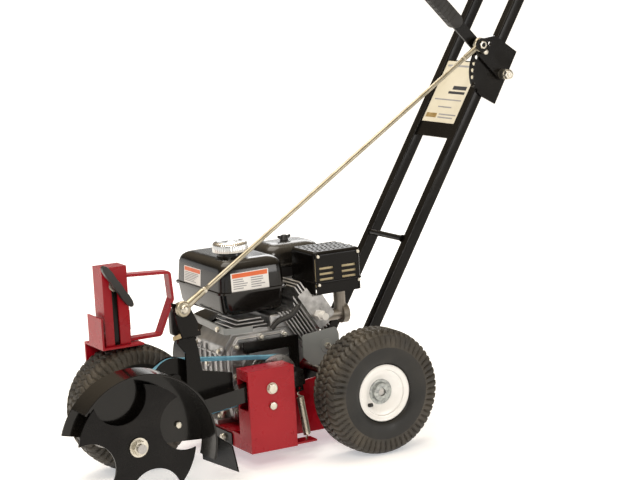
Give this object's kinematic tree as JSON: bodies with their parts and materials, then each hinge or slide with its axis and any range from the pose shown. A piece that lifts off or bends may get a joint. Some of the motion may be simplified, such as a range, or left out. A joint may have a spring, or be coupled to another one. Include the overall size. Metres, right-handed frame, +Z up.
{
  "type": "walk-behind lawn edger",
  "caption": "Petrol walk-behind lawn edger: star blade in a half-round guard on a swinging belt-driven arm, depth lever with pull rod, three pneumatic wheels.",
  "frame": {"origin": "on the ground, in the middle of the whole box", "axes": "+Z up, +X towards the operator (rear), +Y towards the starter side, -Y the blade side"},
  "size_m": [1.284, 0.6627, 1.0154],
  "materials": {
    "red_paint": "glossy red enamel",
    "black_paint": "glossy black enamel",
    "zinc": "bright zinc plate",
    "chrome": "polished",
    "castings": "die-cast, as cast",
    "steel": "machined",
    "blade_steel": "black painted spring steel",
    "tyre": "moulded tread",
    "rim_white": "white enamel",
    "grip": "moulded",
    "belt": "blue cloth-jacketed belt",
    "plastic": "moulded black",
    "grey_paint": "grey enamel",
    "label_cream": null,
    "ceramic": "glazed"
  },
  "bodies": {
    "chassis": {"base_plate": "red_paint", "front_bar": "black_paint", "pivot_tower": "red_paint", "front_frame": "red_paint", "front_post": "red_paint", "lift_handle": "red_paint", "rear_axle": "steel", "near_rail": "black_paint", "far_rail": "black_paint", "cross_rod": "black_paint", "label_panel": "label_cream", "handlebar": "black_paint", "hand_grips": "grip", "quadrant_plate": "black_paint", "chassis_bolts": "zinc", "crankcase": "castings", "crankcase_cover": "castings", "cylinder": "castings", "cylinder_head": "castings", "spark_plug": "ceramic", "fuel_tank": "black_paint", "muffler": "steel", "muffler_guard": "black_paint", "carburettor": "castings", "air_cleaner_base": "plastic", "air_cleaner_cover": "plastic", "blower_housing": "black_paint", "recoil_cover": "black_paint", "starter_grip": "plastic", "belt_keeper": "black_paint", "side_plate": "grey_paint", "lift_spring": "zinc"},
    "arm": {"blade_arm": "black_paint", "bell_crank": "black_paint", "spindle_housing": "black_paint", "blade_guard": "black_paint", "debris_flap": "black_paint", "arm_bolts": "zinc", "drive_belt": "belt"},
    "rod": {"control_rod": "zinc"},
    "lever": {"depth_lever": "black_paint", "lever_grip": "grip"},
    "index_pin": {"index_pin": "zinc"},
    "blade": {"blade": "blade_steel", "spindle_shaft": "steel", "blade_nut": "zinc"},
    "idler": {"idler_pulley": "black_paint"},
    "crank": {"crankshaft": "steel", "engine_pulley": "steel"},
    "fork": {"front_fork": "red_paint"},
    "clamp_knob": {"clamp_knob": "plastic"},
    "front_wheel": {"front_tyre": "tyre", "front_rim": "rim_white"},
    "near_wheel": {"near_tyre": "tyre", "near_rim": "rim_white"},
    "far_wheel": {"far_tyre": "tyre", "far_rim": "rim_white"},
    "fuel_cap": {"fuel_cap": "chrome"},
    "wing_nut": {"wing_nut": "zinc"},
    "throttle": {"throttle_lever": "grey_paint"}
  },
  "joints": [
    {"name": "lever_swing", "type": "hinge", "parent": "chassis", "child": "lever", "pos_m": [0.5161, -0.0934, 0.765], "axis": [0, -1, 0], "range_deg": [-12, 36]},
    {"name": "arm_swing", "type": "hinge", "parent": "chassis", "child": "arm", "pos_m": [-0.1455, -0.1524, 0.169], "axis": [0, -1, 0], "range_deg": [-4.2, 12.6], "deforming": ["drive_belt", "lift_spring"]},
    {"name": "rod_foot", "type": "hinge", "parent": "arm", "child": "rod", "pos_m": [-0.3459, -0.2004, 0.369], "axis": [0, -1, 0], "range_deg": [-20, 20]},
    {"name": "index_pull", "type": "slide", "parent": "lever", "child": "index_pin", "axis": [0, -1, 0], "range_m": [-0.0045, 0]},
    {"name": "crank_spin", "type": "hinge", "parent": "chassis", "child": "crank", "pos_m": [-0.0969, 0.0116, 0.178], "axis": [0, -1, 0], "continuous": true},
    {"name": "blade_spin", "type": "hinge", "parent": "arm", "child": "blade", "pos_m": [-0.4955, -0.2764, 0.1266], "axis": [0, -1, 0], "continuous": true},
    {"name": "idler_spin", "type": "hinge", "parent": "arm", "child": "idler", "pos_m": [-0.3369, -0.1054, 0.202], "axis": [0, -1, 0], "continuous": true},
    {"name": "wheel_height", "type": "slide", "parent": "chassis", "child": "fork", "axis": [0, 0, 1], "range_m": [-0.09, 0]},
    {"name": "clamp_turn", "type": "hinge", "parent": "fork", "child": "clamp_knob", "pos_m": [-0.4159, -0.0284, 0.402], "axis": [0, -1, 0], "range_deg": [0, 180]},
    {"name": "front_wheel_spin", "type": "hinge", "parent": "fork", "child": "front_wheel", "pos_m": [-0.3849, 0.0116, 0.1345], "axis": [0, -1, 0], "continuous": true},
    {"name": "near_wheel_spin", "type": "hinge", "parent": "chassis", "child": "near_wheel", "pos_m": [0.0831, -0.2114, 0.1345], "axis": [0, -1, 0], "continuous": true},
    {"name": "far_wheel_spin", "type": "hinge", "parent": "chassis", "child": "far_wheel", "pos_m": [0.0831, 0.2836, 0.1345], "axis": [0, -1, 0], "continuous": true},
    {"name": "fuel_cap_turn", "type": "hinge", "parent": "chassis", "child": "fuel_cap", "pos_m": [-0.1099, 0.0536, 0.43], "axis": [0, 0, 1], "range_deg": [0, 90]},
    {"name": "wing_nut_turn", "type": "hinge", "parent": "chassis", "child": "wing_nut", "pos_m": [0.0671, 0.1376, 0.42], "axis": [0, 0, 1], "continuous": true},
    {"name": "throttle_swing", "type": "hinge", "parent": "chassis", "child": "throttle", "pos_m": [0.0061, 0.1556, 0.306], "axis": [0, -1, 0], "range_deg": [-25, 25]}
  ],
  "couplings": [
    {"joint": "arm_swing", "follows": "lever_swing", "ratio": 0.324},
    {"joint": "rod_foot", "follows": "lever_swing", "ratio": -0.336},
    {"joint": "blade_spin", "follows": "crank_spin", "ratio": 1.2712},
    {"joint": "idler_spin", "follows": "crank_spin", "ratio": 0.8621}
  ]
}
